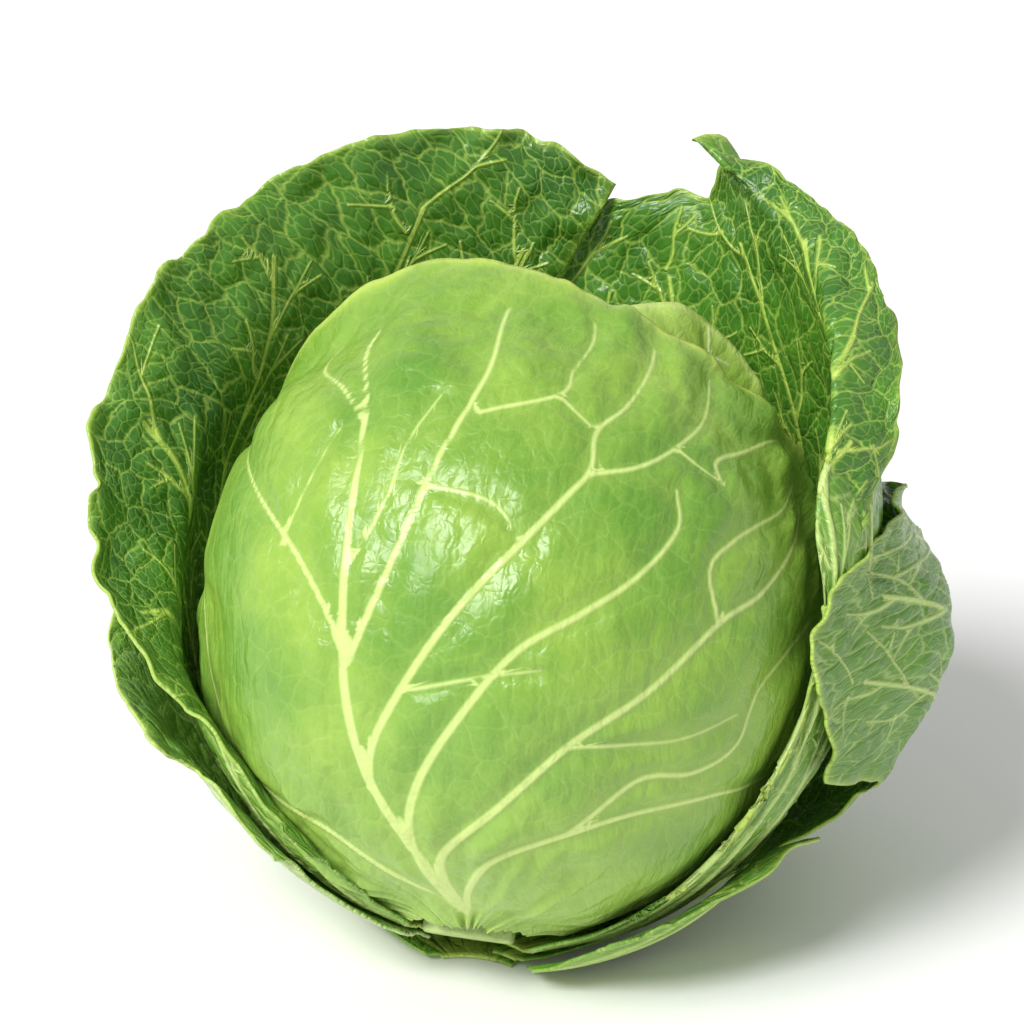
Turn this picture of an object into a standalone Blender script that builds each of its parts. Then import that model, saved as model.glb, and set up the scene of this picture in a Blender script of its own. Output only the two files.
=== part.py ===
"""A cabbage head with its loose wrapper leaves, lying on its side on a small flat spot.

The head is a ball of tightly wrapped leaves round a heart, and every leaf grows from the stalk.
Places on a leaf's shoulder and rim are given as seen from the head's centre: the azimuth goes
round the head's axis (0 towards the viewer, positive to the right), the polar angle is measured
from the axis's stalk end, and the reach is the distance from the centre, in head radii.
"""

import math
from typing import NamedTuple

import bmesh
import bpy
import numpy as np
from mathutils import Matrix, Vector

HEAD_RADIUS = 0.088
HEAD_LENGTH_SHARE = 1.03
HEAD_TILT = math.radians(45)
HEAD_TURN = math.radians(-16)
EYE_LEVEL = math.radians(20)
STALK_TILT = math.radians(31)
STALK_RADIUS = 0.0135
STALK_START = 0.0835
STALK_END = 0.0935
STALK_TAPER = 0.92

LEAF_THICKNESS = 0.0015
LAYER_PITCH = 0.0027
BASE_POLAR = 11.0
FLAT_DEPTH = 0.0045
HEART_GAP = 0.0015

ROWS = 15
HUG_STATIONS = 6


class Leaf(NamedTuple):
    """One leaf: its layer counts outwards from the head's front leaf, which is layer 0."""

    name: str
    layer: float
    columns: int
    base: tuple
    waist: list
    shoulder: list
    rim: list
    colour: tuple


HEAD_GREEN = (0.42, 0.62, 0.12)
WRAPPER_GREEN = (0.10, 0.30, 0.03)
STALK_GREEN = (0.60, 0.66, 0.32)
UNDERSIDE_GREEN = (0.33, 0.50, 0.14)

LEAVES = [
    Leaf(
        "head_leaf_back", -2, 22, (-200, -80), [],
        [(-235, 60, 0), (-225, 100, 0), (-200, 130, 0), (-160, 140, 0), (-110, 135, 0), (-75, 115, 0),
         (-55, 85, 0), (-50, 50, 0)],
        [(-240, 70, 0), (-232, 112, 0), (-205, 145, 0), (-160, 158, 0), (-105, 148, 0), (-68, 126, 0),
         (-48, 92, 0), (-44, 52, 0)],
        HEAD_GREEN,
    ),
    Leaf(
        "head_leaf_right", -1, 24, (40, 160), [],
        [(10, 45, 0), (6, 82, 0), (4, 116, 0), (24, 144, 0), (66, 146, 0.975), (100, 134, 0.985),
         (136, 114, 0), (154, 84, 0), (166, 50, 0)],
        [(2, 48, 0), (-2, 90, 0), (-8, 128, 0), (4, 160, 0), (60, 160, 1.19), (92, 142, 1.14),
         (140, 126, 1.03), (162, 92, 0), (174, 54, 0)],
        HEAD_GREEN,
    ),
    Leaf(
        "head_leaf_front", 0, 32, (-76, 76), [],
        [(-114, 42, 0), (-105, 75, 0), (-96, 104, 0), (-74, 124, 1.03), (-40, 134, 1.04), (0, 130, 0),
         (35, 124, 0), (66, 112, 0), (84, 94, 0), (94, 70, 0), (106, 42, 0)],
        [(-118, 46, 0), (-110, 78, 0), (-102, 110, 0), (-72, 136, 1.16), (-40, 147, 1.15), (0, 142, 1.08),
         (34, 133, 1.02), (68, 122, 1.03), (88, 102, 0), (98, 76, 0), (110, 46, 0)],
        HEAD_GREEN,
    ),
    Leaf(
        "wrapper_left", 1, 24, (-70, -166), [],
        [(-78, 22, 0), (-80, 46, 0), (-86, 66, 1.10), (-94, 86, 1.14), (-99, 104, 1.23),
         (-102, 124, 1.40), (-110, 142, 1.54), (-130, 156, 1.58), (-170, 160, 1.52)],
        [(-76, 26, 1.09), (-73, 50, 1.11), (-78, 64, 1.24), (-86, 84, 1.40), (-89, 108, 1.57),
         (-92, 130, 1.76), (-96, 150, 1.90), (-112, 169, 1.90), (-190, 173, 1.80)],
        WRAPPER_GREEN,
    ),
    Leaf(
        "wrapper_right_back", 2, 24, (168, 68), [],
        [(200, 150, 1.52), (160, 158, 1.52), (115, 158, 1.50), (84, 152, 1.48), (64, 144, 1.44),
         (55, 134, 1.36), (52, 120, 1.24), (52, 106, 1.12), (62, 90, 1.08)],
        [(200, 164, 1.78), (165, 172, 1.82), (112, 168, 1.83), (80, 168, 1.90), (70, 157, 1.80),
         (66, 143, 1.66), (64, 130, 1.50), (61, 114, 1.32), (58, 99, 1.12)],
        WRAPPER_GREEN,
    ),
    Leaf(
        "wrapper_right", 3.2, 20, (154, 120),
        [(134, 120, 1.44), (130, 107, 1.42), (126, 94, 1.38), (124, 82, 1.32), (122, 68, 1.25)],
        [(100, 126, 1.46), (92, 114, 1.47), (86, 102, 1.44), (86, 90, 1.38), (96, 79, 1.32)],
        [(82, 119, 1.44), (71, 108, 1.33), (61, 96, 1.19), (61, 82, 1.16), (80, 71, 1.21)],
        UNDERSIDE_GREEN,
    ),
    Leaf(
        "wrapper_back", 4, 18, (-146, -226), [],
        [(-150, 60, 1.26), (-148, 90, 1.42), (-158, 116, 1.50), (-178, 124, 1.52), (-198, 116, 1.48),
         (-208, 90, 1.42), (-212, 58, 1.28)],
        [(-145, 64, 1.30), (-142, 102, 1.50), (-154, 134, 1.64), (-178, 146, 1.70), (-202, 134, 1.62),
         (-216, 102, 1.50), (-218, 62, 1.32)],
        UNDERSIDE_GREEN,
    ),
    Leaf(
        "wrapper_lower_left", 2, 18, (-86, -146), [],
        [(-94, 28, 1.10), (-93, 42, 1.11), (-98, 58, 1.18), (-114, 78, 1.25), (-136, 86, 1.22),
         (-154, 74, 1.13), (-162, 50, 0)],
        [(-91, 30, 1.13), (-89, 46, 1.15), (-94, 66, 1.27), (-110, 92, 1.38), (-136, 102, 1.33),
         (-158, 86, 1.2), (-168, 56, 1.09)],
        UNDERSIDE_GREEN,
    ),
    Leaf(
        "wrapper_lower_right", 4, 16, (76, 112), [],
        [(90, 27, 0), (88, 38, 0), (88, 49, 0), (95, 56, 0), (104, 56, 0), (111, 48, 0),
         (118, 36, 0)],
        [(86, 31, 1.15), (84, 44, 1.17), (86, 57, 1.19), (95, 65, 1.21), (106, 64, 1.20), (114, 54, 1.18),
         (122, 40, 1.16)],
        UNDERSIDE_GREEN,
    ),
]


def turned_axis(tilt):
    """The direction from the head's centre that leans by tilt from straight down to the viewer."""
    return np.array([
        math.sin(tilt) * math.sin(HEAD_TURN), -math.sin(tilt) * math.cos(HEAD_TURN), -math.cos(tilt),
    ])


def head_axes():
    """Unit vectors of the head: along its axis to the stalk end, to the viewer, to the right."""
    axis = turned_axis(HEAD_TILT)
    eye = np.array([0, -math.cos(EYE_LEVEL), math.sin(EYE_LEVEL)])
    front = eye - eye.dot(axis) * axis
    front /= np.linalg.norm(front)
    return axis, front, np.cross(front, axis)


AXIS, FRONT, RIGHT = head_axes()
STALK = turned_axis(STALK_TILT)


def around(azimuth, polar, axis):
    """Unit vectors from the head's centre, for angles in degrees round the given axis."""
    side = np.cross(FRONT, axis)
    side /= np.linalg.norm(side)
    front = np.cross(axis, side)
    azimuth, polar = np.radians(azimuth)[..., None], np.radians(polar)[..., None]
    outwards = np.cos(azimuth) * front + np.sin(azimuth) * side
    return np.cos(polar) * axis + np.sin(polar) * outwards


def layer_radius(directions, layer):
    """How far a leaf of this layer lies from the centre where it hugs the head."""
    along = (directions @ AXIS) ** 2
    return HEAD_RADIUS / np.sqrt(along / HEAD_LENGTH_SHARE**2 + 1 - along) + layer * LAYER_PITCH


def smooth_through(knots, places):
    """A Catmull-Rom curve through evenly spaced knots, read at places from 0 to 1."""
    knots = np.asarray(knots, float)
    padded = np.concatenate([2 * knots[:1] - knots[1:2], knots, 2 * knots[-1:] - knots[-2:-1]])
    along = np.asarray(places, float) * (len(knots) - 1)
    first = np.clip(along.astype(int), 0, len(knots) - 2)
    t = (along - first).reshape((-1,) + (1,) * (knots.ndim - 1))
    a, b, c, d = (padded[first + i] for i in range(4))
    return 0.5 * (2 * b + (c - a) * t + (2 * a - 5 * b + 4 * c - d) * t**2 + (3 * b - a - 3 * c + d) * t**3)


def outline(knots, layer, across):
    """Directions and looseness along a shoulder or a rim. A knot with a reach of 0 hugs the head."""
    knots = np.array(knots, float)
    way = around(knots[:, 0], knots[:, 1], AXIS)
    loose = np.where(knots[:, 2] > 0, knots[:, 2] * HEAD_RADIUS - layer_radius(way, layer), 0)
    way = smooth_through(way, across)
    return way / np.linalg.norm(way, axis=1)[:, None], smooth_through(loose, across)


def along_the_head(start, end, share):
    """Directions a share of the way round the ball from start to end."""
    angle = np.arccos(np.clip((start * end).sum(axis=1), -1, 1))[:, None]
    return (np.sin((1 - share) * angle) * start + np.sin(share * angle) * end) / np.sin(angle)


def lowest_height(layer):
    """Each layer is pressed flat where the head lies on it, and the outermost meets the floor."""
    return FLAT_DEPTH - HEAD_RADIUS - layer * LAYER_PITCH


def leaf_places(leaf, columns):
    """Directions and looseness of every column at the base, up the leaf, and at its rim."""
    across = np.linspace(0, 1, columns)
    spread = leaf.base[0] + (leaf.base[1] - leaf.base[0]) * across
    way, loose = around(spread, np.full(columns, BASE_POLAR), STALK), np.zeros(columns)
    places = []
    for knots in filter(None, (leaf.waist, leaf.shoulder)):
        next_way, next_loose = outline(knots, leaf.layer, across)
        for share in np.arange(HUG_STATIONS) / HUG_STATIONS:
            between = along_the_head(way, next_way, share)
            places.append((between, loose + (next_loose - loose) * share**3))
        way, loose = next_way, next_loose
    return [*places, (way, loose), outline(leaf.rim, leaf.layer, across)]


def leaf_surface(leaf, rows, columns):
    """The leaf's outer face as points[row, column], from its base at the stalk to its rim."""
    places = leaf_places(leaf, columns)
    stations = [way * (layer_radius(way, leaf.layer) + loose)[:, None] for way, loose in places]
    dense = smooth_through(stations, np.linspace(0, 1, 8 * rows))
    steps = np.linalg.norm(np.diff(dense, axis=0), axis=2)
    length = np.concatenate([np.zeros((1, columns)), np.cumsum(steps, axis=0)])
    points = np.empty((rows, columns, 3))
    for column in range(columns):
        wanted = np.linspace(0, length[-1, column], rows)
        for axis in range(3):
            points[:, column, axis] = np.interp(wanted, length[:, column], dense[:, column, axis])
    points[..., 2] = np.maximum(points[..., 2], lowest_height(leaf.layer))
    return points


def material(name, colour, roughness=0.45):
    made = bpy.data.materials.new(name)
    made.use_nodes = True
    shader = made.node_tree.nodes["Principled BSDF"]
    shader.inputs["Base Color"].default_value = (*colour, 1)
    shader.inputs["Roughness"].default_value = roughness
    return made


def add_object(name, mesh, colour):
    part = bpy.data.objects.new(name, mesh)
    bpy.context.scene.collection.objects.link(part)
    mesh.materials.append(material(name, colour))
    return part


def make_leaf(leaf):
    """A grid bent into the leaf's outer face, thickened inwards."""
    points = leaf_surface(leaf, ROWS, leaf.columns)
    grid = bmesh.new()
    bmesh.ops.create_grid(grid, x_segments=leaf.columns - 1, y_segments=ROWS - 1, size=0.5)
    for vertex in grid.verts:
        column = round((vertex.co.x + 0.5) * (leaf.columns - 1))
        row = round((vertex.co.y + 0.5) * (ROWS - 1))
        vertex.co = points[row, column]
    if leaf.base[1] < leaf.base[0]:
        bmesh.ops.reverse_faces(grid, faces=grid.faces)
    mesh = bpy.data.meshes.new(leaf.name)
    grid.to_mesh(mesh)
    grid.free()
    mesh.shade_smooth()
    part = add_object(leaf.name, mesh, leaf.colour)
    thick = part.modifiers.new("thickness", "SOLIDIFY")
    thick.thickness = LEAF_THICKNESS
    thick.offset = -1
    return part


def make_heart():
    """The tight inner leaves, a ball a little longer along the stalk, flattened where it rests."""
    ball = bmesh.new()
    bmesh.ops.create_icosphere(ball, subdivisions=4, radius=1)
    lowest_layer = min(leaf.layer for leaf in LEAVES)
    inner = lowest_layer * LAYER_PITCH - LEAF_THICKNESS - HEART_GAP
    for vertex in ball.verts:
        vertex.co *= float(layer_radius(np.array(vertex.co), 0)) + inner
        vertex.co.z = max(vertex.co.z, lowest_height(lowest_layer) + LEAF_THICKNESS + HEART_GAP)
    mesh = bpy.data.meshes.new("heart")
    ball.to_mesh(mesh)
    ball.free()
    mesh.shade_smooth()
    return add_object("heart", mesh, HEAD_GREEN)


def make_stalk():
    """The cut stump that the leaves grow from, standing off the heart."""
    stump = bmesh.new()
    bmesh.ops.create_cone(
        stump, cap_ends=True, segments=24, radius1=STALK_RADIUS, radius2=STALK_RADIUS * STALK_TAPER,
        depth=STALK_END - STALK_START,
    )
    turned = Vector(STALK).to_track_quat("Z", "Y")
    for vertex in stump.verts:
        vertex.co = turned @ vertex.co + Vector(STALK) * (STALK_START + STALK_END) / 2
    mesh = bpy.data.meshes.new("stalk")
    stump.to_mesh(mesh)
    stump.free()
    return add_object("stalk", mesh, STALK_GREEN)


def stand_on_origin(parts):
    """Moves everything so that the middle of the whole object's underside is the origin."""
    bpy.context.view_layer.update()
    graph = bpy.context.evaluated_depsgraph_get()
    corners = np.array([c for part in parts for c in part.evaluated_get(graph).bound_box])
    low, high = corners.min(axis=0), corners.max(axis=0)
    shift = Vector((-(low[0] + high[0]) / 2, -(low[1] + high[1]) / 2, -low[2]))
    for part in parts:
        part.data.transform(Matrix.Translation(shift))


for old in list(bpy.data.objects):
    bpy.data.objects.remove(old)
pieces = [make_heart(), make_stalk()] + [make_leaf(leaf) for leaf in LEAVES]
stand_on_origin(pieces)
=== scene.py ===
"""The looks of a fresh green cabbage: a tight ribbed head held in loose, dark wrapper leaves."""

import math
from typing import NamedTuple

import bpy
import numpy as np
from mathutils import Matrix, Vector
from mathutils.kdtree import KDTree


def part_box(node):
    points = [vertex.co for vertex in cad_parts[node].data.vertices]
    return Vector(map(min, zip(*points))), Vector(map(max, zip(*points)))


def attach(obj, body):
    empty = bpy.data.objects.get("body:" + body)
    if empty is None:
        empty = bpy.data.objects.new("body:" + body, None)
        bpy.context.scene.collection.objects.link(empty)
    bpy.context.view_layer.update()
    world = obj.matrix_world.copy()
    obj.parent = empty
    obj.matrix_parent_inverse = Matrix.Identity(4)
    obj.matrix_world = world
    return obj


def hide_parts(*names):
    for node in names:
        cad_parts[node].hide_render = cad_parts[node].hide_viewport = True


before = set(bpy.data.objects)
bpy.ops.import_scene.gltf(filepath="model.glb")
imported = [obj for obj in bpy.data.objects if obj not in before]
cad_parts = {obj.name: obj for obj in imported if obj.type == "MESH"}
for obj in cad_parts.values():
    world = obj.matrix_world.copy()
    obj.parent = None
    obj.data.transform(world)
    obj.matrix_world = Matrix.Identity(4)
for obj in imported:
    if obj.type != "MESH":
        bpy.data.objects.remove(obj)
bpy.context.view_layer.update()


# ---------------------------------------------------------------- Front head leaf
# The leaf that wraps the whole front of the ball, seen from its outer side. It grows from the
# stalk as one sheet, with thick pale ribs that stand proud of a waxy, light green blade.
# Leaves are told as seen from the head's centre: the azimuth goes round the head's axis
# (0 to the front, positive to the right), the polar angle starts at the axis's stalk end, and
# the reach is the distance from the centre in head radii, with 0 for lying on the layer below.

HEAD_RADIUS = 0.088
HEAD_LENGTH_SHARE = 1.03
HEAD_TILT = math.radians(45)
HEAD_TURN = math.radians(-16)
EYE_LEVEL = math.radians(20)
STALK_TILT = math.radians(31)
LAYER_PITCH = 0.0027
FLAT_DEPTH = 0.0045
BASE_POLAR = 11.0
HUG_STATIONS = 6
HEART_LAYER = -2


class Leaf(NamedTuple):
    """One leaf's layer, the arc it grows from, and the curves it passes on its way to the rim."""

    name: str
    layer: float
    base: tuple
    waist: list
    shoulder: list
    rim: list


def turned_axis(tilt):
    """The direction from the head's centre that leans by tilt from straight down to the front."""
    return np.array([
        math.sin(tilt) * math.sin(HEAD_TURN), -math.sin(tilt) * math.cos(HEAD_TURN), -math.cos(tilt),
    ])


def head_axes():
    """Unit vectors of the head: along its axis to the stalk end, to the front, to the right."""
    axis = turned_axis(HEAD_TILT)
    eye = np.array([0, -math.cos(EYE_LEVEL), math.sin(EYE_LEVEL)])
    front = eye - eye.dot(axis) * axis
    front /= np.linalg.norm(front)
    return axis, front, np.cross(front, axis)


AXIS, FRONT, RIGHT = head_axes()
STALK = turned_axis(STALK_TILT)


def around(azimuth, polar, axis):
    """Unit vectors from the head's centre, for angles in degrees round the given axis."""
    side = np.cross(FRONT, axis)
    side /= np.linalg.norm(side)
    front = np.cross(axis, side)
    azimuth, polar = np.radians(azimuth)[..., None], np.radians(polar)[..., None]
    outwards = np.cos(azimuth) * front + np.sin(azimuth) * side
    return np.cos(polar) * axis + np.sin(polar) * outwards


def layer_radius(directions, layer):
    """How far a leaf of this layer lies from the centre where it hugs the head."""
    along = (directions @ AXIS) ** 2
    return HEAD_RADIUS / np.sqrt(along / HEAD_LENGTH_SHARE**2 + 1 - along) + layer * LAYER_PITCH


def head_centre():
    """The middle of the ball: midway across the heart, and up from the leaf that the head lies on."""
    low, high = np.array(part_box("heart"))
    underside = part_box("wrapper_back")[0][2]
    lowest_layer = 4
    up = underside + HEAD_RADIUS + lowest_layer * LAYER_PITCH - FLAT_DEPTH
    return np.array([(low[0] + high[0]) / 2, (low[1] + high[1]) / 2, up])


CENTRE = head_centre()


def smooth_through(knots, places):
    """A Catmull-Rom curve through evenly spaced knots, read at places from 0 to 1."""
    knots = np.asarray(knots, float)
    padded = np.concatenate([2 * knots[:1] - knots[1:2], knots, 2 * knots[-1:] - knots[-2:-1]])
    along = np.asarray(places, float) * (len(knots) - 1)
    first = np.clip(along.astype(int), 0, len(knots) - 2)
    t = (along - first).reshape((-1,) + (1,) * (knots.ndim - 1))
    a, b, c, d = (padded[first + i] for i in range(4))
    return 0.5 * (2 * b + (c - a) * t + (2 * a - 5 * b + 4 * c - d) * t**2 + (3 * b - a - 3 * c + d) * t**3)


def outline(knots, layer, across):
    """Directions and looseness along a shoulder or a rim. A knot with a reach of 0 hugs the head."""
    knots = np.array(knots, float)
    way = around(knots[:, 0], knots[:, 1], AXIS)
    loose = np.where(knots[:, 2] > 0, knots[:, 2] * HEAD_RADIUS - layer_radius(way, layer), 0)
    way = smooth_through(way, across)
    return way / np.linalg.norm(way, axis=1)[:, None], smooth_through(loose, across)


def along_the_head(start, end, share):
    """Directions a share of the way round the ball from start to end."""
    angle = np.arccos(np.clip((start * end).sum(axis=1), -1, 1))[:, None]
    return (np.sin((1 - share) * angle) * start + np.sin(share * angle) * end) / np.sin(angle)


def leaf_places(leaf, columns):
    """Directions and looseness of every column at the base, up the leaf, and at its rim."""
    across = np.linspace(0, 1, columns)
    spread = leaf.base[0] + (leaf.base[1] - leaf.base[0]) * across
    way, loose = around(spread, np.full(columns, BASE_POLAR), STALK), np.zeros(columns)
    places = []
    for knots in filter(None, (leaf.waist, leaf.shoulder)):
        next_way, next_loose = outline(knots, leaf.layer, across)
        for share in np.arange(HUG_STATIONS) / HUG_STATIONS:
            between = along_the_head(way, next_way, share)
            places.append((between, loose + (next_loose - loose) * share**3))
        way, loose = next_way, next_loose
    return [*places, (way, loose), outline(leaf.rim, leaf.layer, across)]


def leaf_surface(leaf, rows, columns):
    """The leaf's outer face as points[row, column], from its base at the stalk to its rim."""
    places = leaf_places(leaf, columns)
    stations = [way * (layer_radius(way, leaf.layer) + loose)[:, None] for way, loose in places]
    dense = smooth_through(stations, np.linspace(0, 1, 3 * rows))
    steps = np.linalg.norm(np.diff(dense, axis=0), axis=2)
    length = np.concatenate([np.zeros((1, columns)), np.cumsum(steps, axis=0)])
    points = np.empty((rows, columns, 3))
    for column in range(columns):
        wanted = np.linspace(0, length[-1, column], rows)
        for axis in range(3):
            points[:, column, axis] = np.interp(wanted, length[:, column], dense[:, column, axis])
    return points + CENTRE


def press_flat(points, layer, clear=0.0):
    """Keeps a layer off the one below it where the head lies on it."""
    floor = CENTRE[2] + FLAT_DEPTH - HEAD_RADIUS - layer * LAYER_PITCH + clear
    points[..., 2] = np.maximum(points[..., 2], floor)


def outer_normals(points):
    """Unit normals of a leaf's outer face."""
    normal = np.cross(np.gradient(points, axis=1), np.gradient(points, axis=0))
    normal /= np.maximum(np.linalg.norm(normal, axis=2), 1e-12)[..., None]
    hugging = slice(3, len(points) // 4)
    outwards = ((points - CENTRE)[hugging] * normal[hugging]).sum()
    return normal if outwards > 0 else -normal


def soft_noise(points, size, seed):
    """Smooth random heights, from -1 to 1, in bumps about as wide as size."""
    lattice = np.random.default_rng(seed).uniform(-1, 1, (32, 32, 32))
    cell = np.asarray(points) / size
    corner = np.floor(cell).astype(int)
    t = cell - corner
    t = t**3 * (t * (t * 6 - 15) + 10)
    total = np.zeros(t.shape[:-1])
    for corner_of_cell in np.ndindex(2, 2, 2):
        step = np.array(corner_of_cell)
        weight = np.prod(np.where(step, t, 1 - t), axis=-1)
        at = (corner + step) % 32
        total += weight * lattice[at[..., 0], at[..., 1], at[..., 2]]
    return total


def leaf_lengths(points):
    """Metres from the nearest free edge, metres from the base, and places laid out flat."""
    across = np.linalg.norm(np.diff(points, axis=1), axis=2)
    along = np.linalg.norm(np.diff(points, axis=0), axis=2)
    zero_column, zero_row = np.zeros((len(points), 1)), np.zeros((1, points.shape[1]))
    from_left = np.concatenate([zero_column, np.cumsum(across, axis=1)], axis=1)
    from_right = from_left[:, -1:] - from_left
    from_base = np.concatenate([zero_row, np.cumsum(along, axis=0)])
    edge = np.minimum(np.minimum(from_left, from_right), from_base[-1:] - from_base)
    laid_out = np.stack([(from_left - from_right) / 2, from_base, 0 * from_base], axis=-1)
    return edge, from_base, laid_out


def on_leaf(points, across, along):
    """Places on a leaf's grid, for shares across and along it."""
    rows, columns = points.shape[:2]
    y = np.clip(np.asarray(along, float), 0, 1) * (rows - 1)
    x = np.clip(np.asarray(across, float), 0, 1) * (columns - 1)
    row, column = np.minimum(y.astype(int), rows - 2), np.minimum(x.astype(int), columns - 2)
    fy, fx = (y - row)[..., None], (x - column)[..., None]
    low = points[row, column] * (1 - fx) + points[row, column + 1] * fx
    high = points[row + 1, column] * (1 - fx) + points[row + 1, column + 1] * fx
    return low * (1 - fy) + high * fy


class Rib(NamedTuple):
    """One rib as a line of points that tapers from start to end width, by its order."""

    line: np.ndarray
    start_width: float
    end_width: float
    order: int


def rib_field(points, ribs):
    """For each place: the nearest rib's half width, its distance, and the signed step beside it."""
    flat, normals = points.reshape(-1, 3), outer_normals(points).reshape(-1, 3)
    best = np.full(len(flat), 99.0)
    found = {name: np.zeros(len(flat)) for name in ("wide", "distance", "side")}
    for order in sorted({rib.order for rib in ribs}):
        lines, widths, runs = [], [], []
        for rib in (r for r in ribs if r.order == order):
            length = np.linalg.norm(np.diff(rib.line, axis=0), axis=1).sum()
            share = np.linspace(0, 1, max(8, int(length / 0.0004)))
            lines.append(smooth_through(rib.line, share))
            runs.append(np.gradient(lines[-1], axis=0))
            widths.append(rib.start_width + (rib.end_width - rib.start_width) * share)
        line, width, run = (np.concatenate(parts) for parts in (lines, widths, runs))
        run /= np.maximum(np.linalg.norm(run, axis=1), 1e-12)[:, None]
        tree = KDTree(len(line))
        for index, place in enumerate(line):
            tree.insert(place, index)
        tree.balance()
        index = np.array([tree.find(place)[1] for place in flat])
        step = flat - line[index]
        distance, wide = np.linalg.norm(step, axis=1), width[index]
        side = (np.cross(normals, run[index]) * step).sum(axis=1)
        nearer = distance / wide < best
        best = np.where(nearer, distance / wide, best)
        for name, values in (("wide", wide), ("distance", distance), ("side", side)):
            found[name] = np.where(nearer, values, found[name])
    return [found[name].reshape(points.shape[:2]) for name in ("wide", "distance", "side")]


def grow(name, points, thickness, marks, laid_out, replaced):
    """A grid bent into the leaf, given its thickness inwards, with its marks kept as attributes."""
    rows, columns = points.shape[:2]
    bpy.ops.object.select_all(action="DESELECT")
    bpy.ops.mesh.primitive_grid_add(x_subdivisions=columns - 1, y_subdivisions=rows - 1, size=1)
    piece = bpy.context.active_object
    piece.name = piece.data.name = name
    piece.data.vertices.foreach_set("co", points.reshape(-1))
    for mark, values in marks.items():
        kept = piece.data.attributes.new(mark, "FLOAT", "POINT")
        kept.data.foreach_set("value", np.ascontiguousarray(values, np.float32).reshape(-1))
    flat = piece.data.attributes.new("laid_out", "FLOAT_VECTOR", "POINT")
    flat.data.foreach_set("vector", np.ascontiguousarray(laid_out, np.float32).reshape(-1))
    piece.data.update()
    faces = np.empty(len(piece.data.polygons) * 3)
    piece.data.polygons.foreach_get("normal", faces)
    corners = np.empty(len(piece.data.loops), int)
    piece.data.loops.foreach_get("vertex_index", corners)
    if (faces.reshape(-1, 3) * outer_normals(points).reshape(-1, 3)[corners[::4]]).sum() < 0:
        bpy.ops.object.mode_set(mode="EDIT")
        bpy.ops.mesh.select_all(action="SELECT")
        bpy.ops.mesh.flip_normals()
        bpy.ops.object.mode_set(mode="OBJECT")
    bpy.ops.object.modifier_add(type="SOLIDIFY")
    solidify = piece.modifiers["Solidify"]
    solidify.thickness = thickness
    solidify.offset = -1
    bpy.ops.object.modifier_apply(modifier="Solidify")
    skins = np.empty(len(piece.data.vertices) * 3)
    piece.data.vertices.foreach_get("co", skins)
    skins[2::3] = np.maximum(skins[2::3], 0)
    piece.data.vertices.foreach_set("co", skins)
    inside = piece.data.attributes.new("inside", "FLOAT", "POINT")
    second_skin = np.arange(len(piece.data.vertices)) >= rows * columns
    inside.data.foreach_set("value", second_skin.astype(np.float32))
    bpy.ops.object.shade_smooth()
    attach(piece, "root")
    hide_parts(*replaced)
    return piece


class Greens(NamedTuple):
    """The colours of one face of a leaf."""

    blade: tuple
    deep: tuple
    pale: tuple
    rib: tuple
    lip: tuple


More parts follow.
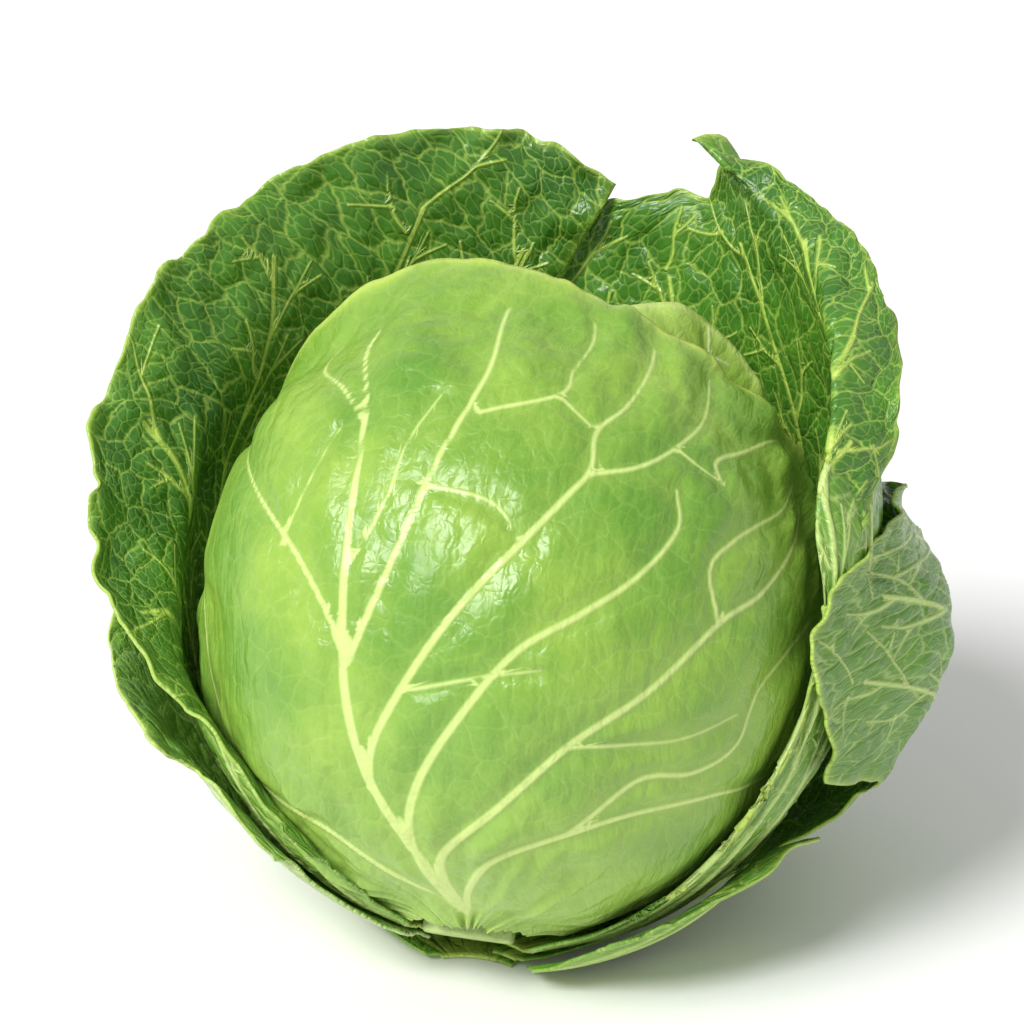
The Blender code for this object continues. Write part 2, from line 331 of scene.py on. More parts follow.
def leaf_material(name, outer, inner, gloss, cell, veinlets, relief, crumple=1.2):
    """A waxy leaf: a mottled blade on each face, with light ribs and a net of fine veins.

    The net's cells are about cell metres wide. Veinlets, relief and crumple are how strongly the
    fine veins, the bumps between them and the long creases show.
    """
    made = bpy.data.materials.new(name)
    made.use_nodes = True
    nodes, links = made.node_tree.nodes, made.node_tree.links
    shader = nodes["Principled BSDF"]

    def plug(socket, value):
        if isinstance(value, tuple):
            socket.default_value = (*value, 1)
        elif isinstance(value, (int, float)):
            socket.default_value = value
        else:
            links.new(value, socket)

    def mark(attribute, output="Fac"):
        node = nodes.new("ShaderNodeAttribute")
        node.attribute_name = attribute
        return node.outputs[output]

    def calculate(kind, *values):
        node = nodes.new("ShaderNodeMath")
        node.operation = kind
        for socket, value in zip(node.inputs, values):
            plug(socket, value)
        return node.outputs[0]

    def blend(share, one, two):
        node = nodes.new("ShaderNodeMix")
        node.data_type = "RGBA"
        colours = [socket for socket in node.inputs if socket.type == "RGBA"]
        plug(node.inputs[0], share)
        plug(colours[0], one)
        plug(colours[1], two)
        return next(socket for socket in node.outputs if socket.type == "RGBA")

    def noise(place, scale, detail, roughness=0.5):
        node = nodes.new("ShaderNodeTexNoise")
        node.inputs["Scale"].default_value = scale
        node.inputs["Detail"].default_value = detail
        node.inputs["Roughness"].default_value = roughness
        links.new(place, node.inputs["Vector"])
        return node.outputs

    def net(place, size):
        node = nodes.new("ShaderNodeTexVoronoi")
        node.voronoi_dimensions = "2D"
        node.feature = "DISTANCE_TO_EDGE"
        node.inputs["Scale"].default_value = 1 / size
        links.new(place, node.inputs["Vector"])
        return node.outputs["Distance"]

    def ramp(value, low, high, start=0.0, end=1.0):
        node = nodes.new("ShaderNodeMapRange")
        for socket, number in zip(node.inputs[1:5], (low, high, start, end)):
            socket.default_value = number
        links.new(value, node.inputs["Value"])
        return node.outputs["Result"]

    body = nodes.new("ShaderNodeTexCoord").outputs["Object"]
    wander = nodes.new("ShaderNodeVectorMath")
    wander.operation = "MULTIPLY_ADD"
    links.new(noise(mark("laid_out", "Vector"), 170, 2)["Color"], wander.inputs[0])
    wander.inputs[1].default_value = (0.0045, 0.0045, 0)
    links.new(mark("laid_out", "Vector"), wander.inputs[2])
    flat = wander.outputs["Vector"]

    large, small = net(flat, cell), net(flat, cell * 0.33)
    beside = calculate("SUBTRACT", calculate("ABSOLUTE", mark("rib_side")), mark("rib_wide"))
    rib = calculate("MULTIPLY", ramp(beside, -0.50, 0.35, 1, 0), ramp(mark("rib_near"), 0.42, 0.62))
    vein = ramp(large, 0.012, 0.060, 1, 0)
    veinlet = ramp(small, 0.02, 0.11, 1, 0)
    mottle = ramp(noise(body, 24, 4, 0.6)["Fac"], 0.36, 0.66)
    speckle = ramp(noise(body, 240, 3, 0.6)["Fac"], 0.35, 0.70)
    faces = []
    for greens in (outer, inner):
        colour = blend(mottle, greens.deep, greens.blade)
        colour = blend(calculate("MULTIPLY", speckle, 0.28), colour, greens.deep)
        colour = blend(calculate("MULTIPLY", veinlet, 0.30 * veinlets), colour, greens.rib)
        # The dark mark is random darker tone, and on the front leaf it is also painted shade towards its left
        # side and rim.
        colour = blend(mark("dark"), colour, greens.deep)
        colour = blend(mark("pale"), colour, greens.pale)
        colour = blend(calculate("MULTIPLY", vein, 0.50 * veinlets), colour, greens.rib)
        colour = blend(rib, colour, greens.rib)
        faces.append(blend(mark("lip"), colour, greens.lip))
    plug(shader.inputs["Base Color"], blend(mark("inside"), *faces))
    plug(shader.inputs["Roughness"], ramp(noise(body, 90, 3)["Fac"], 0.3, 0.7, gloss - 0.06, gloss + 0.10))
    shader.inputs["Subsurface Weight"].default_value = 0.10
    shader.inputs["Subsurface Radius"].default_value = (0.6, 1.0, 0.25)
    shader.inputs["Subsurface Scale"].default_value = 0.003
    pillow = ramp(large, 0.0, 0.28)
    height = calculate("MULTIPLY", pillow, 0.9)
    height = calculate("ADD", height, calculate("MULTIPLY", ramp(small, 0, 0.2), 0.22))
    height = calculate("ADD", height, calculate("MULTIPLY", noise(body, 420, 3)["Fac"], 0.22))
    height = calculate("ADD", height, calculate("MULTIPLY", rib, 0.8))
    drawn_out = nodes.new("ShaderNodeVectorMath")
    drawn_out.operation = "MULTIPLY"
    drawn_out.inputs[1].default_value = (1, 0.28, 0)
    links.new(flat, drawn_out.inputs[0])
    streaks = noise(drawn_out.outputs["Vector"], 230, 2)["Fac"]
    height = calculate("ADD", height, calculate("MULTIPLY", streaks, crumple))
    bump = nodes.new("ShaderNodeBump")
    bump.inputs["Strength"].default_value = relief
    bump.inputs["Distance"].default_value = 0.0009
    links.new(height, bump.inputs["Height"])
    links.new(bump.outputs["Normal"], shader.inputs["Normal"])
    return made


FRONT_LEAF = Leaf(
    "head_leaf_front", 0, (-76, 76), [],
    [(-114, 42, 0), (-105, 75, 0), (-96, 104, 0), (-74, 124, 1.03), (-40, 134, 1.04), (0, 130, 0),
     (35, 124, 0), (66, 112, 0), (84, 94, 0), (94, 70, 0), (106, 42, 0)],
    [(-118, 46, 0), (-110, 78, 0), (-102, 110, 0), (-72, 136, 1.16), (-40, 147, 1.15), (0, 142, 1.08),
     (34, 133, 1.02), (68, 122, 1.03), (88, 102, 0), (98, 76, 0), (110, 46, 0)],
)
FRONT_RIBS = [
    (3.6, 1.5, 1, [(40, 3), (-8, 10), (-26, 24), (-33, 38), (-34, 52), (-33, 68), (-33, 86), (-36, 104),
                   (-46, 121), (-54, 137)]),
    (1.8, 0.9, 2, [(-33, 57), (-37, 66), (-45, 77), (-56, 88), (-68, 99), (-80, 110)]),
    (1.5, 0.8, 2, [(-35, 100), (-44, 109), (-56, 117), (-63, 126), (-62, 138)]),
    (2.6, 1.0, 2, [(40, 3), (-34, 8), (-62, 26), (-77, 36), (-86, 48), (-85, 62), (-83, 76), (-88, 92)]),
    (2.0, 0.9, 2, [(-32, 58), (-24, 74), (-19, 92), (-15, 112), (-17, 130), (-19, 145)]),
    (2.2, 0.9, 2, [(-33, 35), (-29, 43), (-20, 54), (-11, 67), (-2, 80), (4, 90), (7, 96), (7, 104),
                   (12, 112), (17, 124), (20, 136)]),
    (3.0, 1.1, 1, [(40, 3), (-14, 8), (-23, 17), (-23, 27), (-17, 37), (-8, 49), (1, 62), (11, 71),
                   (19, 80), (24, 90), (23, 97)]),
    (3.0, 1.0, 1, [(40, 3), (4, 7), (-10, 14), (-9, 22), (6, 34), (17, 49), (28, 62), (37, 78),
                   (45, 87), (53, 99), (58, 110)]),
    (2.4, 0.9, 2, [(40, 4), (10, 12), (12, 22), (26, 31), (42, 42), (58, 52), (68, 58), (78, 66)]),
    (1.4, 0.8, 3, [(30, 34), (37, 48), (49, 54), (55, 62), (53, 72), (58, 82), (66, 92)]),
    (1.1, 0.7, 3, [(-14, 103), (-1, 110), (1, 118), (4, 128), (3, 139)]),
    (0.9, 0.7, 3, [(-1, 110), (3, 107), (7, 104)]),
    (1.2, 0.7, 3, [(7, 95), (15, 99), (22, 106), (29, 116), (33, 128)]),
    (1.2, 0.7, 3, [(32, 103), (31, 107), (40, 114), (50, 121), (58, 124)]),
    (1.2, 0.7, 3, [(37, 78), (32, 86), (36, 93), (42, 99), (50, 106), (56, 114)]),
    (1.0, 0.6, 3, [(22, 106), (27, 104), (32, 103)]),
    (0.9, 0.6, 3, [(-21, 88), (-8, 86), (-2, 80)]),
    (0.9, 0.6, 3, [(-48, 79), (-43, 90), (-40, 99)]),
    (0.9, 0.6, 3, [(-33, 72), (-27, 84), (-25, 96), (-22, 106)]),
    (0.9, 0.6, 3, [(17, 49), (30, 53), (41, 58), (50, 66)]),
    (0.9, 0.6, 3, [(-19, 53), (-4, 57), (6, 60)]),
]


def ribs_from_angles(table, layer):
    """Ribs whose places are told by azimuth and polar angle, on the layer's surface."""
    ribs = []
    for start, end, order, places in table:
        start, end = start + 0.3, end - 0.1
        places = np.array(places, float)
        way = around(places[:, 0], places[:, 1], AXIS)
        line = way * layer_radius(way, layer)[:, None] + CENTRE
        ribs.append(Rib(line, start / 2000, end / 2000, order))
    return ribs


def dressed(points, ribs, ruffle, pucker, seed, deepest, scallop=0.0, lip=0.0013):
    """A leaf's points with its waves, ribs and puckers, its marks, and its places laid out flat."""
    edge, from_base, laid_out = leaf_lengths(points)
    to_rim = from_base[-1:] - from_base
    free = np.clip(from_base / 0.08 - 0.5, 0, 1)
    down = -np.gradient(points, axis=0)
    down /= np.maximum(np.linalg.norm(down, axis=2), 1e-9)[..., None]
    nibbles = 0.5 + soft_noise(points, 0.012, seed + 6) + 0.5 * soft_noise(points, 0.0055, seed + 7)
    points = points + down * (scallop * nibbles * np.exp(-to_rim / 0.008))[..., None]
    sway = soft_noise(points, 0.022, seed) + 0.5 * soft_noise(points, 0.0095, seed + 1)
    wave = ruffle * sway * free * (np.exp(-edge / 0.012) + 0.15)
    wave += 0.0006 * soft_noise(points, 0.034, 5)
    points = points + outer_normals(points) * wave[..., None]
    wide, away, beside = rib_field(points, ribs)
    away = np.minimum(away, 0.03)
    between = 1 - np.exp(-((away / 0.0040) ** 2))
    rows, columns = points.shape[:2]
    shares = np.meshgrid(np.linspace(0, 1, columns), np.linspace(0, 1, rows))
    width = np.ptp(laid_out[2 * rows // 3, :, 0])
    fan = np.stack([shares[0] * width, shares[1] * from_base[-1].mean() * 0.34, 0 * shares[0]], axis=-1)
    folds = soft_noise(fan, 0.0085, seed + 2) + 0.70 * soft_noise(fan, 0.0050, seed + 3)
    folds += 0.45 * soft_noise(points, 0.0060, seed + 8) + 1.3 * soft_noise(points, 0.0170, seed + 10)
    where = np.clip(soft_noise(points, 0.045, seed + 4) * 1.5 + 0.6, 0.2, 1.0)
    height = np.minimum(0.85 * wide, deepest) * np.exp(-1.3 * (away / np.maximum(wide, 0.0011)) ** 2)
    height += pucker * (folds * where * between + 1.2 * between)
    points = points + outer_normals(points) * height[..., None]
    marks = {
        "rib_wide": 1000 * wide,
        "rib_side": np.clip(1000 * beside, -6, 6),
        "rib_near": np.exp(-((away / np.maximum(1.5 * wide, 0.0018)) ** 2)),
        "pale": np.clip(0.85 * np.exp(-from_base / 0.045) + 0.20 * np.exp(-away / 0.003), 0, 0.9),
        "lip": np.exp(-edge / lip) * np.clip(from_base / 0.05 - 0.6, 0, 1) * 0.9,
        "dark": np.clip(-0.25 * soft_noise(points, 0.05, seed + 9), 0, 1),
    }
    return points, marks, laid_out


FRONT_ROWS, FRONT_COLUMNS = 180, 262
front_points = leaf_surface(FRONT_LEAF, FRONT_ROWS, FRONT_COLUMNS)
front_points, marks, laid_out = dressed(
    front_points, ribs_from_angles(FRONT_RIBS, FRONT_LEAF.layer), ruffle=0.0018, pucker=0.00140,
    seed=3, deepest=0.0015, scallop=0.0012, lip=0.0024,
)
# Painted shade: the dark mark is raised towards the front leaf's left side and up towards its rim, so the
# blade is painted deeper green where the head lies in shade.
shaded_side = np.clip(1 - np.linspace(0, 1, FRONT_COLUMNS) / 0.42, 0, 1)
shaded_top = np.clip(np.linspace(-0.2, 1.3, FRONT_ROWS), 0, 1)
marks["dark"] += 0.85 * shaded_side[None] * shaded_top[:, None]
press_flat(front_points, FRONT_LEAF.layer)
LEAF_THICKNESS = 0.0010
front_leaf = grow(
    "front_head_leaf", front_points, LEAF_THICKNESS, marks, laid_out, ["head_leaf_front"])
LIGHT_GREENS = Greens(
    blade=(0.300, 0.480, 0.056), deep=(0.110, 0.280, 0.022), pale=(0.400, 0.575, 0.130),
    rib=(0.560, 0.700, 0.220), lip=(0.560, 0.690, 0.130),
)
front_leaf.data.materials.append(leaf_material(
    "light_head_leaf", LIGHT_GREENS, LIGHT_GREENS,
    gloss=0.33, cell=0.0085, veinlets=0.16, relief=0.26, crumple=5.0,
))

# ---------------------------------------------------------------- Other head leaves
# Two more leaves close the ball behind the front one. They are the same light green sheets; the
# right one's rim flares up behind the front leaf as a pale lip, over a yellow-green inner leaf.


def shifted(leaf_points, across, along, step_across, step_along):
    """The shares across and along a leaf, moved by a step given in metres."""
    rows, columns = leaf_points.shape[:2]
    row = min(int(along * (rows - 1)), rows - 2)
    width = np.linalg.norm(np.diff(leaf_points[row], axis=0), axis=1).sum()
    column = min(max(int(across * (columns - 1)), 0), columns - 1)
    length = np.linalg.norm(np.diff(leaf_points[:, column], axis=0), axis=1).sum()
    return across + step_across / width, along + step_along / length


def branching_ribs(points, stems, seed, spacing=0.016, reach=0.027):
    """Ribs along the given stems, with side ribs that leave them by turns and fork near their ends.

    A stem is its start and end width in millimetres, and its places as shares across and along.
    """
    rng = np.random.default_rng(seed)
    ribs = []
    for start, end, places in stems:
        places = np.array(places, float)
        fine = smooth_through(places, np.linspace(0, 1, 60))
        line = on_leaf(points, fine[:, 0], fine[:, 1])
        ribs.append(Rib(line[::4], start / 2000, end / 2000, 1))
        run = np.concatenate([[0], np.cumsum(np.linalg.norm(np.diff(line, axis=0), axis=1))])
        side = rng.choice([-1, 1])
        distance = 0.030 + rng.uniform(0, spacing)
        while distance < run[-1] - 0.006:
            share = np.interp(distance, run, np.linspace(0, 1, 60))
            across, along = smooth_through(places, [share])[0]
            turn = rng.uniform(0.62, 0.95)
            width = 0.7 * (start + (end - start) * share)
            length = reach * rng.uniform(0.7, 1.25)
            path = [(across, along)]
            fork = None
            for step in range(7):
                turn = turn * 0.86 + rng.uniform(-0.20, 0.20)
                across, along = shifted(
                    points, across, along, side * math.sin(turn) * length / 7, math.cos(turn) * length / 7)
                path.append((across, along))
                if step == 3:
                    fork = (across, along, turn)
            path = [p for p in path if -0.02 < p[0] < 1.02 and p[1] < 1.0]
            if len(path) > 3:
                ribs.append(Rib(on_leaf(points, *zip(*path)), min(width, 2.0) / 2000, 0.8 / 2000, 2))
            across, along, turn = fork
            twig = [(across, along)]
            for step in range(5):
                across, along = shifted(
                    points, across, along, side * math.sin(turn + 0.75) * length / 11,
                    math.cos(turn + 0.75) * length / 11)
                twig.append((across, along))
            twig = [p for p in twig if -0.02 < p[0] < 1.02 and p[1] < 1.0]
            if len(twig) > 3:
                ribs.append(Rib(on_leaf(points, *zip(*twig)), 1.2 / 2000, 0.7 / 2000, 3))
            side = -side
            distance += spacing * rng.uniform(0.7, 1.2)
    return ribs


RIGHT_HEAD_LEAF = Leaf(
    "head_leaf_right", -1, (40, 160), [],
    [(10, 45, 0), (6, 82, 0), (4, 116, 0), (24, 144, 0), (66, 146, 0.975), (100, 134, 0.985),
     (136, 114, 0), (154, 84, 0), (166, 50, 0)],
    [(-2, 48, 0), (-2, 90, 0), (-8, 128, 0), (4, 160, 0), (60, 160, 1.19), (92, 142, 1.14),
     (140, 126, 1.03), (162, 92, 0), (174, 54, 0)],
)
BACK_HEAD_LEAF = Leaf(
    "head_leaf_back", -2, (-200, -80), [],
    [(-235, 60, 0), (-225, 100, 0), (-200, 130, 0), (-160, 140, 0), (-110, 135, 0), (-75, 115, 0),
     (-55, 85, 0), (-50, 50, 0)],
    [(-240, 70, 0), (-232, 112, 0), (-205, 145, 0), (-160, 158, 0), (-105, 148, 0), (-68, 126, 0),
     (-48, 92, 0), (-44, 52, 0)],
)
YELLOW_GREENS = Greens(
    blade=(0.400, 0.570, 0.100), deep=(0.260, 0.440, 0.050), pale=(0.520, 0.660, 0.230),
    rib=(0.680, 0.780, 0.380), lip=(0.640, 0.760, 0.240),
)
HEAD_STEMS = [
    (4.0, 1.4, [(0.50, 0.0), (0.50, 0.3), (0.49, 0.6), (0.50, 0.97)]),
    (2.4, 1.0, [(0.40, 0.0), (0.34, 0.3), (0.27, 0.6), (0.22, 0.95)]),
    (2.4, 1.0, [(0.60, 0.0), (0.66, 0.3), (0.74, 0.6), (0.79, 0.95)]),
    (1.8, 0.9, [(0.30, 0.0), (0.20, 0.35), (0.10, 0.7), (0.04, 0.9)]),
    (1.8, 0.9, [(0.70, 0.0), (0.80, 0.35), (0.90, 0.7), (0.96, 0.9)]),
]
inner_finish = leaf_material(
    "yellow_head_leaf", YELLOW_GREENS, YELLOW_GREENS, gloss=0.30, cell=0.0095, veinlets=0.15, relief=0.3)
for leaf, rows, columns, seed in ((RIGHT_HEAD_LEAF, 110, 230, 21), (BACK_HEAD_LEAF, 90, 200, 31)):
    points = leaf_surface(leaf, rows, columns)
    ribs = branching_ribs(points, HEAD_STEMS, seed)
    points, marks, laid_out = dressed(
        points, ribs, ruffle=0.0011, pucker=0.00045, seed=seed, deepest=0.0010, lip=0.0022)
    press_flat(points, leaf.layer)
    piece = grow(leaf.name + "_look", points, LEAF_THICKNESS, marks, laid_out, [leaf.name])
    piece.data.materials.append(inner_finish)

# ---------------------------------------------------------------- Wrapper leaves
# Six loose outer leaves hold the head. They grow from the same stalk, outside one another: dark
# green inside, greyer and paler outside, with a thick midrib and a strong net of pale veins.

WRAPPER_LEFT = Leaf(
    "wrapper_left", 1, (-70, -166), [],
    [(-78, 22, 0), (-80, 46, 0), (-86, 66, 1.10), (-94, 86, 1.14), (-99, 104, 1.23), (-102, 124, 1.40),
     (-110, 142, 1.54), (-130, 156, 1.58), (-170, 160, 1.52)],
    [(-76, 26, 1.09), (-73, 50, 1.11), (-78, 64, 1.24), (-86, 84, 1.40), (-89, 108, 1.57),
     (-92, 130, 1.76), (-96, 150, 1.90), (-112, 169, 1.90), (-190, 173, 1.80)],
)
WRAPPER_RIGHT_BACK = Leaf(
    "wrapper_right_back", 2, (168, 68), [],
    [(200, 150, 1.52), (160, 158, 1.52), (115, 158, 1.50), (84, 152, 1.48), (64, 144, 1.44),
     (55, 134, 1.36), (52, 120, 1.24), (52, 106, 1.12), (62, 90, 1.08)],
    [(200, 164, 1.78), (165, 172, 1.82), (112, 168, 1.83), (80, 168, 1.90), (70, 157, 1.80),
     (66, 143, 1.66), (64, 130, 1.50), (61, 114, 1.32), (58, 99, 1.12)],
)
WRAPPER_RIGHT = Leaf(
    "wrapper_right", 3.2, (154, 120),
    [(134, 120, 1.44), (130, 107, 1.42), (126, 94, 1.38), (124, 82, 1.32), (122, 68, 1.25)],
    [(100, 126, 1.46), (92, 114, 1.47), (86, 102, 1.44), (86, 90, 1.38), (96, 79, 1.32)],
    [(82, 119, 1.44), (71, 108, 1.33), (61, 96, 1.19), (61, 82, 1.16), (80, 71, 1.21)],
)
WRAPPER_BACK = Leaf(
    "wrapper_back", 4, (-146, -226), [],
    [(-150, 60, 1.26), (-148, 90, 1.42), (-158, 116, 1.50), (-178, 124, 1.52), (-198, 116, 1.48),
     (-208, 90, 1.42), (-212, 58, 1.28)],
    [(-145, 64, 1.30), (-142, 102, 1.50), (-154, 134, 1.64), (-178, 146, 1.70), (-202, 134, 1.62),
     (-216, 102, 1.50), (-218, 62, 1.32)],
)
WRAPPER_LOWER_LEFT = Leaf(
    "wrapper_lower_left", 2, (-86, -146), [],
    [(-94, 28, 1.10), (-93, 42, 1.11), (-98, 58, 1.18), (-114, 78, 1.25), (-136, 86, 1.22),
     (-154, 74, 1.13), (-162, 50, 0)],
    [(-91, 30, 1.13), (-89, 46, 1.15), (-94, 66, 1.27), (-110, 92, 1.38), (-136, 102, 1.33),
     (-158, 86, 1.20), (-168, 56, 1.09)],
)
WRAPPER_LOWER_RIGHT = Leaf(
    "wrapper_lower_right", 4, (76, 112), [],
    [(90, 27, 0), (88, 38, 0), (88, 49, 0), (95, 56, 0), (104, 56, 0), (111, 48, 0), (118, 36, 0)],
    [(86, 31, 1.15), (84, 44, 1.17), (86, 57, 1.19), (95, 65, 1.21), (106, 64, 1.20), (114, 54, 1.18),
     (122, 40, 1.16)],
)
LOOSE_STEMS = [
    (6.5, 2.4, [(0.50, 0.0), (0.50, 0.3), (0.49, 0.6), (0.50, 0.97)]),
    (3.6, 2.0, [(0.42, 0.0), (0.37, 0.3), (0.33, 0.6), (0.31, 0.96)]),
    (3.6, 2.0, [(0.58, 0.0), (0.63, 0.3), (0.67, 0.6), (0.69, 0.96)]),
    (3.2, 1.8, [(0.33, 0.0), (0.25, 0.3), (0.20, 0.6), (0.17, 0.95)]),
    (3.2, 1.8, [(0.67, 0.0), (0.75, 0.3), (0.81, 0.6), (0.83, 0.95)]),
    (2.6, 1.6, [(0.24, 0.0), (0.13, 0.3), (0.08, 0.6), (0.05, 0.93)]),
    (2.6, 1.6, [(0.76, 0.0), (0.87, 0.3), (0.92, 0.6), (0.95, 0.93)]),
]
SMALL_STEMS = [
    (4.6, 2.0, [(0.50, 0.0), (0.50, 0.3), (0.49, 0.6), (0.50, 0.97)]),
    (2.8, 1.6, [(0.38, 0.0), (0.32, 0.3), (0.27, 0.6), (0.24, 0.96)]),
    (2.8, 1.6, [(0.62, 0.0), (0.68, 0.3), (0.73, 0.6), (0.76, 0.96)]),
]
DARK_GREENS = Greens(
    blade=(0.080, 0.250, 0.016), deep=(0.026, 0.125, 0.010), pale=(0.170, 0.370, 0.035),
    rib=(0.470, 0.640, 0.110), lip=(0.330, 0.500, 0.070),
)
UNDERSIDE_GREENS = Greens(
    blade=(0.150, 0.335, 0.030), deep=(0.065, 0.205, 0.014), pale=(0.330, 0.520, 0.100),
    rib=(0.480, 0.640, 0.190), lip=(0.450, 0.590, 0.130),
)
PALE_UNDERSIDE = Greens(
    blade=(0.400, 0.570, 0.170), deep=(0.290, 0.460, 0.090), pale=(0.580, 0.700, 0.360),
    rib=(0.660, 0.760, 0.440), lip=(0.470, 0.620, 0.150),
)
wrapper_finish = leaf_material(
    "wrapper_leaf", UNDERSIDE_GREENS, DARK_GREENS, gloss=0.32, cell=0.0115, veinlets=0.9, relief=0.75)
pale_finish = leaf_material(
    "pale_wrapper_leaf", PALE_UNDERSIDE, UNDERSIDE_GREENS, gloss=0.36, cell=0.0100, veinlets=0.8, relief=0.75)
WRAPPERS = [
    (WRAPPER_LEFT, 178, 272, LOOSE_STEMS, 41, 0.0046, wrapper_finish),
    (WRAPPER_RIGHT_BACK, 178, 272, LOOSE_STEMS, 51, 0.0036, wrapper_finish),
    (WRAPPER_RIGHT, 170, 150, SMALL_STEMS, 61, 0.0040, wrapper_finish),
    (WRAPPER_BACK, 150, 220, LOOSE_STEMS, 71, 0.0042, wrapper_finish),
    (WRAPPER_LOWER_LEFT, 120, 200, SMALL_STEMS, 81, 0.0040, pale_finish),
    (WRAPPER_LOWER_RIGHT, 110, 150, SMALL_STEMS, 91, 0.0030, wrapper_finish),
]
PULLS = {
    "wrapper_right_back": [
        (0.405, 0.022, 0.90, (-0.017, -0.002, 0.004)), (0.365, 0.010, 0.95, (0.002, 0, -0.006)),
    ],
    "wrapper_right": [(0.45, 0.60, 0.70, (-0.012, -0.006, 0.0))],
    "wrapper_lower_left": [(0.24, 0.020, 0.94, (-0.004, -0.004, 0.006))],
}


def pulled(points, pulls):
    """Draws a place near a leaf's rim out along a step, easing off across the leaf and down it."""
    rows, columns = points.shape[:2]
    for across, spread, start, step in pulls:
        sideways = np.exp(-(((np.linspace(0, 1, columns) - across) / spread) ** 2))
        lengthwise = np.clip((np.linspace(0, 1, rows) - start) / (1 - start), 0, 1) ** 1.5
        points = points + (lengthwise[:, None] * sideways[None])[..., None] * np.array(step)
    return points


for leaf, rows, columns, stems, seed, ruffle, finish in WRAPPERS:
    points = pulled(leaf_surface(leaf, rows, columns), PULLS.get(leaf.name, []))
    ribs = branching_ribs(points, stems, seed)
    points, marks, laid_out = dressed(
        points, ribs, ruffle, pucker=0.00060, seed=seed, deepest=0.0013, scallop=0.0030)
    press_flat(points, leaf.layer, 0.0002)
    piece = grow(leaf.name + "_look", points, LEAF_THICKNESS, marks, laid_out, [leaf.name])
    piece.data.materials.append(finish)

# ---------------------------------------------------------------- Heart and stalk
# The heart is the ball of young leaves inside, pale yellow-green, which shows only where the
# head leaves part. The stalk is the pale, woody stump they all grow from, cut across.

bpy.ops.object.select_all(action="DESELECT")
bpy.ops.mesh.primitive_ico_sphere_add(subdivisions=6, radius=1)
heart = bpy.context.active_object
heart.name = heart.data.name = "heart_leaves_look"
ways = np.empty(len(heart.data.vertices) * 3)
heart.data.vertices.foreach_get("co", ways)
ways = ways.reshape(-1, 3)
azimuth = np.arctan2(ways @ RIGHT, ways @ FRONT)
polar = np.arccos(np.clip(ways @ AXIS, -1, 1))
turns = (azimuth / (2 * math.pi) + 0.6 * polar) % 0.5
folded = -0.0036 + 0.0040 * turns + 0.0004 * soft_noise(ways * HEAD_RADIUS, 0.012, 95)
points = ways * (layer_radius(ways, HEART_LAYER) + folded)[:, None] + CENTRE
press_flat(points, HEART_LAYER, 0.0032)
heart.data.vertices.foreach_set("co", points.reshape(-1))
stripes = np.abs(np.sin(5.5 * azimuth + 1.5 * np.sin(2.5 * polar))) ** 0.5
for mark, values in {
    "rib_wide": 0 * polar, "rib_side": 2 * stripes, "rib_near": 0 * polar + 1,
    "pale": np.clip(0.4 - 0.3 * np.cos(polar), 0, 1),
    "lip": np.exp(-turns / 0.02), "dark": 0 * polar, "inside": 0 * polar,
}.items():
    kept = heart.data.attributes.new(mark, "FLOAT", "POINT")
    kept.data.foreach_set("value", np.ascontiguousarray(values, np.float32))
flat = heart.data.attributes.new("laid_out", "FLOAT_VECTOR", "POINT")
laid_out = np.stack([azimuth * np.sin(polar) * HEAD_RADIUS, polar * HEAD_RADIUS, 0 * polar], axis=-1)
flat.data.foreach_set("vector", np.ascontiguousarray(laid_out, np.float32).reshape(-1))
heart.data.update()
bpy.ops.object.shade_smooth()
heart.data.materials.append(inner_finish)
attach(heart, "root")
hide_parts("heart")

STALK_RADIUS = 0.0135
STALK_END = 0.0935
STALK_LENGTH = 0.010
middle = Vector(CENTRE) + Vector(STALK) * (STALK_END - STALK_LENGTH / 2)
bpy.ops.object.select_all(action="DESELECT")
bpy.ops.mesh.primitive_cylinder_add(
    vertices=72, radius=STALK_RADIUS - 0.0004, depth=STALK_LENGTH, location=middle,
    rotation=Vector(STALK).to_track_quat("Z", "Y").to_euler(),
)
stump = bpy.context.active_object
stump.name = stump.data.name = "stalk_look"
bpy.ops.object.modifier_add(type="BEVEL")
stump.modifiers["Bevel"].width = 0.0012
stump.modifiers["Bevel"].segments = 3
bpy.ops.object.modifier_apply(modifier="Bevel")
bpy.ops.object.transform_apply(location=True, rotation=True, scale=True)
bpy.ops.object.shade_smooth_by_angle(angle=math.radians(35))
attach(stump, "root")
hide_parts("stalk")


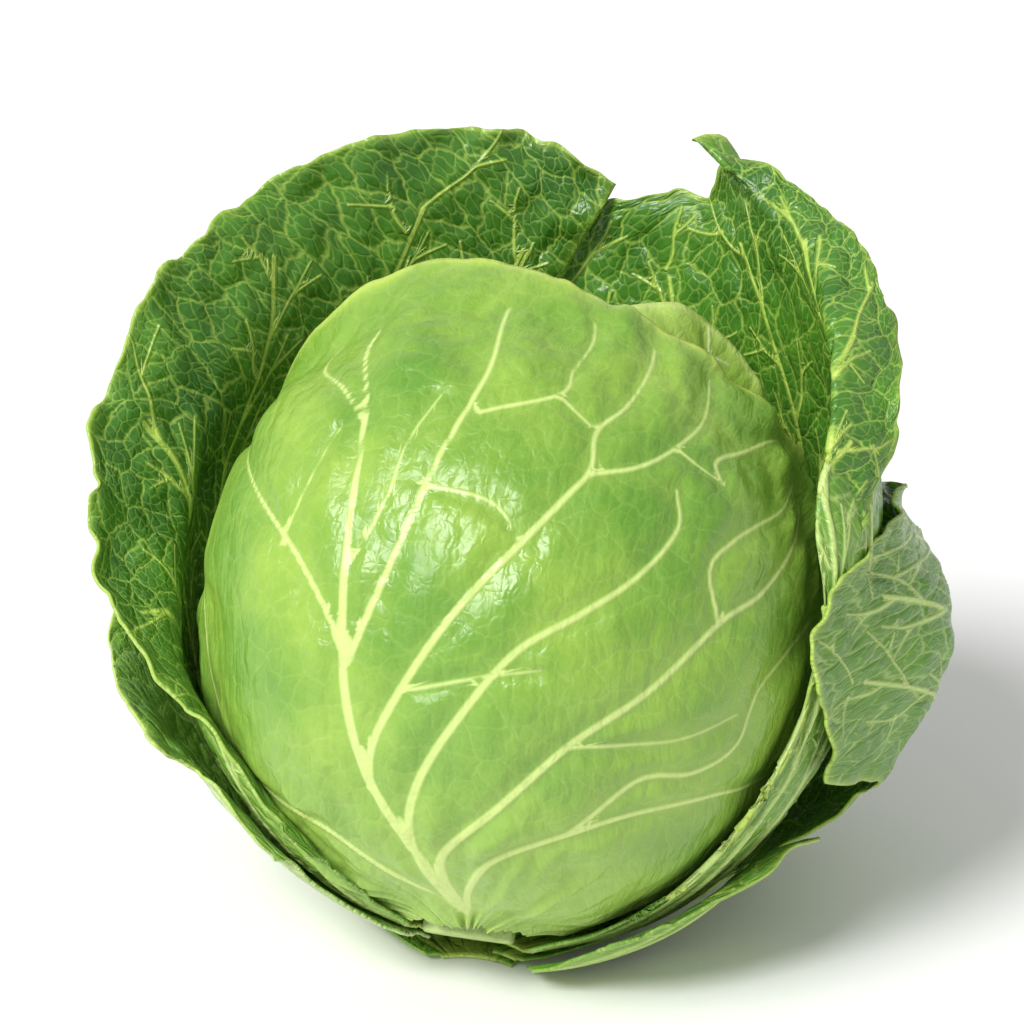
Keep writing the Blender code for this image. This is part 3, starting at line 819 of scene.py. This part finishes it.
def stalk_material():
    """Pale green, fibrous flesh, mottled, dried a little at the pores."""
    made = bpy.data.materials.new("cut_stalk")
    made.use_nodes = True
    nodes, links = made.node_tree.nodes, made.node_tree.links
    place = nodes.new("ShaderNodeTexCoord").outputs["Object"]
    fibres = nodes.new("ShaderNodeTexVoronoi")
    fibres.inputs["Scale"].default_value = 700
    speck = nodes.new("ShaderNodeTexNoise")
    speck.inputs["Scale"].default_value = 160
    speck.inputs["Detail"].default_value = 4
    links.new(place, fibres.inputs["Vector"])
    links.new(place, speck.inputs["Vector"])
    colours = nodes.new("ShaderNodeValToRGB")
    colours.color_ramp.elements[0].position = 0.30
    colours.color_ramp.elements[0].color = (0.330, 0.480, 0.120, 1)
    colours.color_ramp.elements[1].position = 0.70
    colours.color_ramp.elements[1].color = (0.560, 0.680, 0.290, 1)
    links.new(speck.outputs["Fac"], colours.inputs["Fac"])
    links.new(colours.outputs["Color"], nodes["Principled BSDF"].inputs["Base Color"])
    nodes["Principled BSDF"].inputs["Roughness"].default_value = 0.55
    bump = nodes.new("ShaderNodeBump")
    bump.inputs["Strength"].default_value = 0.5
    bump.inputs["Distance"].default_value = 0.0005
    links.new(fibres.outputs["Distance"], bump.inputs["Height"])
    links.new(bump.outputs["Normal"], nodes["Principled BSDF"].inputs["Normal"])
    return made


stump.data.materials.append(stalk_material())

# ---------------------------------------------------------------- Floor, light and camera
# A pale studio table with soft daylight from the upper left, seen a little from above.

bpy.ops.object.select_all(action="DESELECT")
bpy.ops.mesh.primitive_plane_add(size=12, location=(0, 0, 0))
floor = bpy.context.active_object
floor.name = "floor"
floor_finish = bpy.data.materials.new("pale_table")
floor_finish.use_nodes = True
floor_finish.node_tree.nodes["Principled BSDF"].inputs["Base Color"].default_value = (0.90, 0.90, 0.89, 1)
floor_finish.node_tree.nodes["Principled BSDF"].inputs["Roughness"].default_value = 0.7
floor.data.materials.append(floor_finish)

sky = bpy.data.worlds.new("studio")
bpy.context.scene.world = sky
sky.use_nodes = True
sky.node_tree.nodes["Background"].inputs["Color"].default_value = (1, 1, 1, 1)
sky.node_tree.nodes["Background"].inputs["Strength"].default_value = 0.55


bpy.ops.object.light_add(type="SUN", location=(-0.8, -0.8, 1.2))
key = bpy.context.active_object
key.name = "key"
key.data.energy = 3.4
key.data.angle = math.radians(28)
key.rotation_euler = Vector((0.62, 0.55, -0.86)).to_track_quat("-Z", "Y").to_euler()

CAMERA_DISTANCE = 0.80
AIM_RIGHT, AIM_UP = -0.0009, 0.0287
bpy.ops.object.camera_add()
camera = bpy.context.active_object
camera.data.sensor_width = 36
camera.data.lens = 98
backward = Vector((0, -math.cos(EYE_LEVEL), math.sin(EYE_LEVEL)))
upward = Vector((0, math.sin(EYE_LEVEL), math.cos(EYE_LEVEL)))
aim = Vector(CENTRE) + Vector((AIM_RIGHT, 0, 0)) + upward * AIM_UP
camera.location = aim + backward * CAMERA_DISTANCE
camera.rotation_euler = (-backward).to_track_quat("-Z", "Y").to_euler()
bpy.context.scene.camera = camera

bpy.context.scene.view_settings.view_transform = "Standard"
